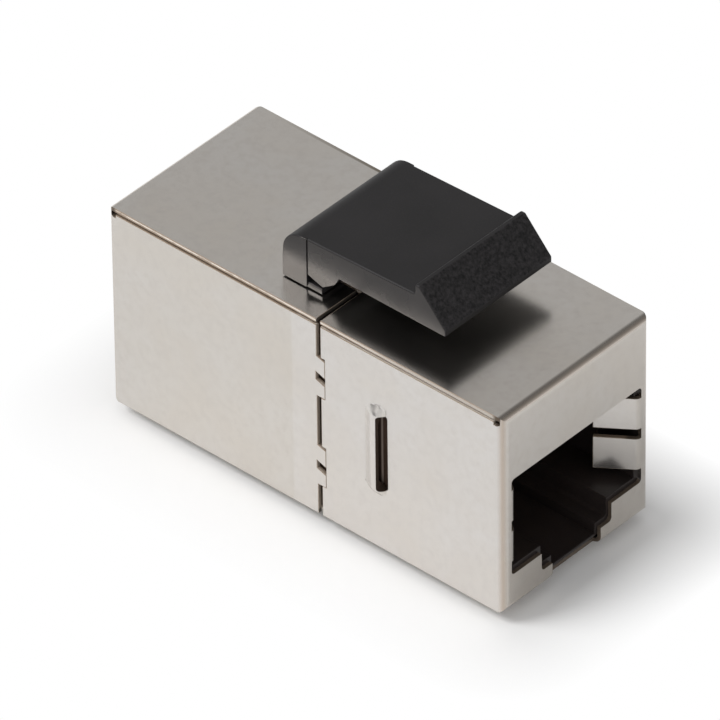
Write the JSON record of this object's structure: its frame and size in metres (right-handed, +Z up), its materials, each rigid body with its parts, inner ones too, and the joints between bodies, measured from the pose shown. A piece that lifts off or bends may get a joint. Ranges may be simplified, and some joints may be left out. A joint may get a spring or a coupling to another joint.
{
  "type": "keystone coupler",
  "caption": "Shielded in-line keystone coupler: folded metal can with a modular socket at each end and a moulded snap latch on top that holds it in a panel opening.",
  "frame": {"origin": "under the middle of the body, level with the lowest edge of the catch", "axes": "+X along the body towards the front socket, +Y across the body, +Z up towards the latch"},
  "size_m": [0.0344, 0.0156, 0.0222],
  "materials": {
    "shield_plate": "satin nickel plate",
    "latch_plastic": "fine moulded grain",
    "housing_plastic": "moulded satin",
    "carrier_plastic": "moulded satin",
    "board_laminate": "solder mask",
    "contact_plate": "bright gold plate"
  },
  "bodies": {
    "root": {"front_shield": "shield_plate", "rear_shield": "shield_plate", "latch_clip": "latch_plastic", "circuit_board": "board_laminate", "front_jack_housing": "housing_plastic", "front_contact_carrier": "carrier_plastic", "front_contact_1": "contact_plate", "front_contact_2": "contact_plate", "front_contact_3": "contact_plate", "front_contact_4": "contact_plate", "front_contact_5": "contact_plate", "front_contact_6": "contact_plate", "front_contact_7": "contact_plate", "front_contact_8": "contact_plate", "rear_jack_housing": "housing_plastic", "rear_contact_carrier": "carrier_plastic", "rear_contact_1": "contact_plate", "rear_contact_2": "contact_plate", "rear_contact_3": "contact_plate", "rear_contact_4": "contact_plate", "rear_contact_5": "contact_plate", "rear_contact_6": "contact_plate", "rear_contact_7": "contact_plate", "rear_contact_8": "contact_plate"}
  },
  "joints": []
}
